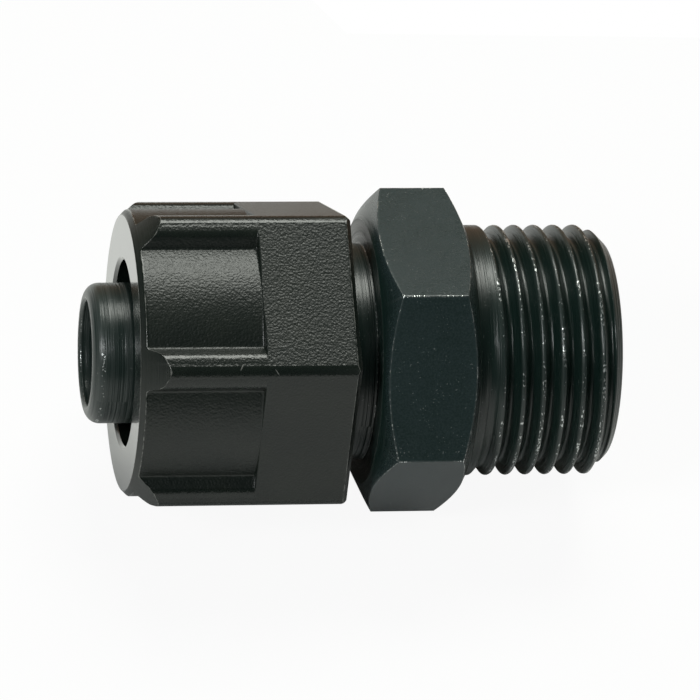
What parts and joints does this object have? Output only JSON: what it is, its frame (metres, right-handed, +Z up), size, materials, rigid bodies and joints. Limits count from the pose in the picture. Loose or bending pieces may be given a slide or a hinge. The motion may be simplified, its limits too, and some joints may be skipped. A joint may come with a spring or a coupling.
{
  "type": "pneumatic hose fitting",
  "caption": "Straight male hose fitting: a turned body with nozzle, spanner hexagon and parallel pipe thread, and a ribbed union nut that clamps the hose.",
  "frame": {"origin": "on the flow axis, in the plane of the hexagon's shoulder that seals against the port", "axes": "+X along the flow axis towards the port thread's end, +Z up with the fitting turned as it lies on a flat surface"},
  "size_m": [0.0346, 0.022, 0.0216],
  "materials": {
    "black_anodised_metal": "satin",
    "black_moulded_plastic": "satin"
  },
  "bodies": {
    "body": {"fitting_body": "black_anodised_metal"},
    "nut": {"union_nut": "black_moulded_plastic"}
  },
  "joints": [
    {"name": "nut_turn", "type": "hinge", "parent": "body", "child": "nut", "pos_m": [-0.0125, 0, 0], "axis": [1, 0, 0], "continuous": true}
  ]
}
